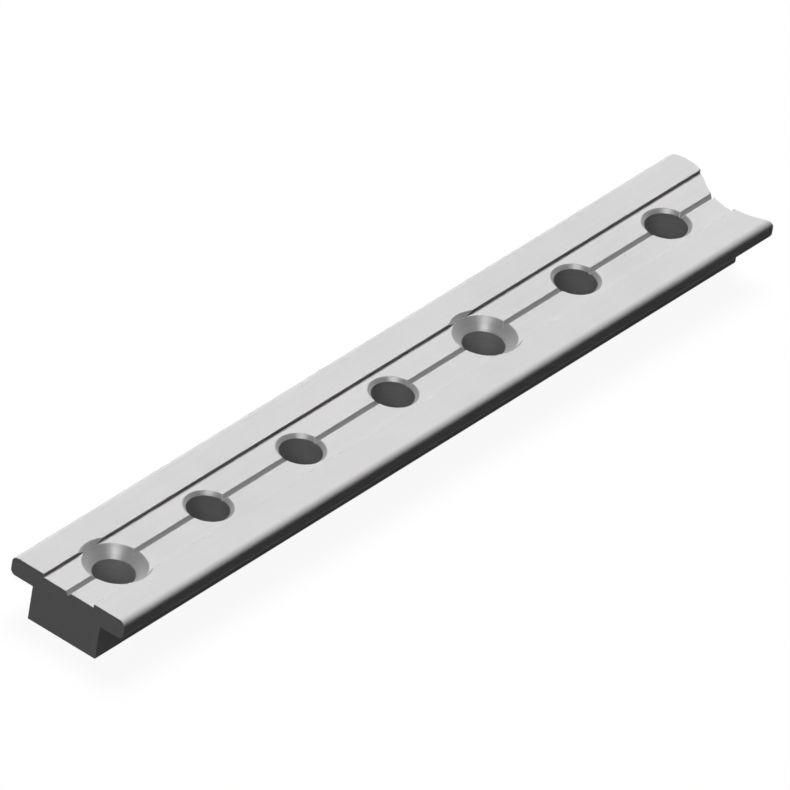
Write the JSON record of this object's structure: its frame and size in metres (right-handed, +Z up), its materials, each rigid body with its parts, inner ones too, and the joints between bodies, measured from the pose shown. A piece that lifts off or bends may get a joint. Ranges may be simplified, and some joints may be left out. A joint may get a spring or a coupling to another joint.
{
  "type": "sail track section",
  "caption": "Straight T-section aluminium sail track with a row of holes, countersunk screw holes and one end cut to an S-curve.",
  "frame": {"origin": "middle of the overall box, on the flat foot of the web that lies on the deck", "axes": "+X along the track towards the S-curved end, +Y across it towards the side of the convex crest, +Z up, out of the deck"},
  "size_m": [0.1792, 0.025, 0.0106],
  "materials": {
    "anodised_aluminium": "clear anodised, satin"
  },
  "bodies": {
    "root": {"track_rail": "anodised_aluminium"}
  },
  "joints": []
}
